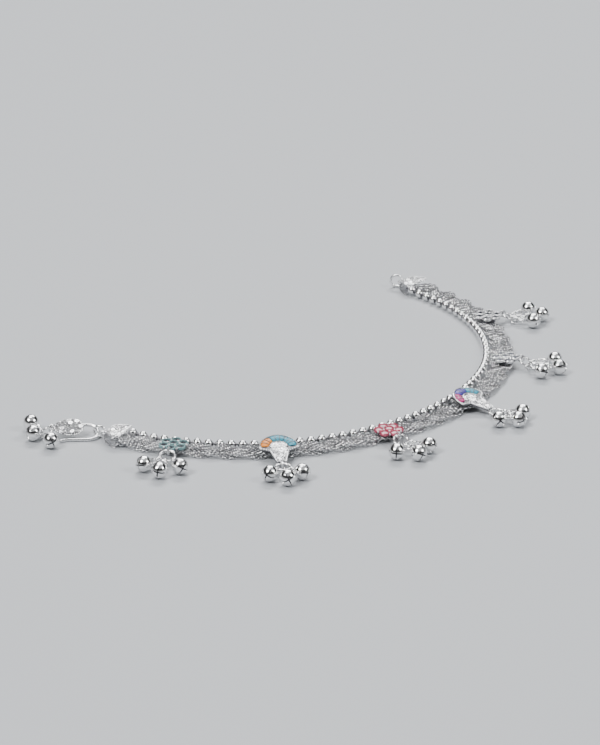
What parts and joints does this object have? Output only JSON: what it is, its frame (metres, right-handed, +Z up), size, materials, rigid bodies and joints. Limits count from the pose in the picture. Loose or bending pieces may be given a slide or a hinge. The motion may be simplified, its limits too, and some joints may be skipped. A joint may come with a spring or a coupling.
{
  "type": "anklet",
  "caption": "Bell anklet lying open: a row of round beads beside a flat plait, flower and fan motifs with round bells on short chains, a wire hook and an end ring.",
  "frame": {"origin": "middle of the bottom of the bounding box, on the surface the anklet lies on", "axes": "+Z up from the surface, +X towards the anklet's right side as it lies with its hook end at the left, +Y away from the viewer"},
  "size_m": [0.1716, 0.1702, 0.0056],
  "materials": {
    "polished_silver": "polished",
    "satin_silver": "satin",
    "worked_silver": "cast and oxidised, with enamel and stones"
  },
  "bodies": {
    "root": {"braid_strand_1": "satin_silver", "braid_strand_2": "satin_silver", "braid_strand_3": "satin_silver", "bead_chain": "polished_silver", "flower_1": "worked_silver", "flower_2": "worked_silver", "flower_3": "worked_silver", "flower_4": "worked_silver", "fan_1": "worked_silver", "fan_2": "worked_silver", "drop_links_1": "polished_silver", "bell_1_left": "polished_silver", "bell_1_middle": "polished_silver", "bell_1_right": "polished_silver", "drop_links_2": "polished_silver", "bell_2_left": "polished_silver", "bell_2_middle": "polished_silver", "bell_2_right": "polished_silver", "drop_links_3": "polished_silver", "bell_3_left": "polished_silver", "bell_3_middle": "polished_silver", "bell_3_right": "polished_silver", "drop_links_4": "polished_silver", "bell_4_left": "polished_silver", "bell_4_middle": "polished_silver", "bell_4_right": "polished_silver", "drop_links_5": "polished_silver", "bell_5_left": "polished_silver", "bell_5_middle": "polished_silver", "bell_5_right": "polished_silver", "drop_links_6": "polished_silver", "bell_6_left": "polished_silver", "bell_6_middle": "polished_silver", "bell_6_right": "polished_silver", "ring_end_cap": "satin_silver", "hook_end_cap": "satin_silver", "end_ring": "polished_silver", "hook_ring": "polished_silver", "hook_clasp": "polished_silver", "tassel_links": "polished_silver", "tassel_bell_left": "polished_silver", "tassel_bell_middle": "polished_silver", "tassel_bell_right": "polished_silver"}
  },
  "joints": []
}
